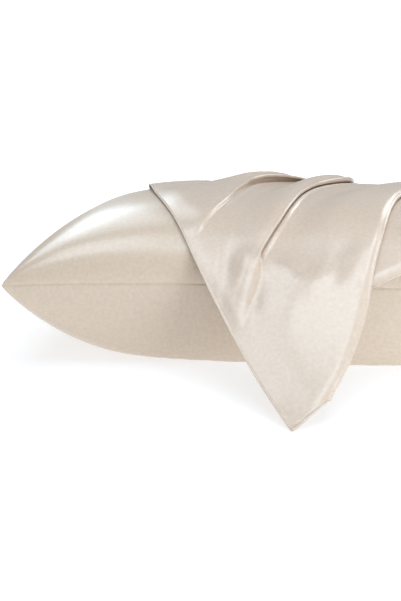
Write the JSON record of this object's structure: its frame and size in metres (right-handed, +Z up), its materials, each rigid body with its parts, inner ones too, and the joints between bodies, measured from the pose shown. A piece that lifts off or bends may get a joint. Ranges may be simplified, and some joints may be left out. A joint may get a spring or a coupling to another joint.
{
  "type": "pillowcase draped over a pillow",
  "caption": "Champagne satin pillowcase draped slantwise with soft pleats over a filled pillow in a matching case.",
  "frame": {"origin": "centre of the pillow's flat base, on the surface it lies on", "axes": "+X along the pillow to the right as the picture shows it, +Y away from the tip of the drape towards the far side, +Z up"},
  "size_m": [0.6, 0.7042, 0.194],
  "materials": {
    "pillow_satin": "satin, champagne",
    "case_outer_satin": "satin, champagne",
    "case_inner_satin": "satin, champagne"
  },
  "bodies": {
    "root": {"filled_pillow": "pillow_satin", "case_outer_panel": "case_outer_satin", "case_inner_panel": "case_inner_satin"}
  },
  "joints": []
}
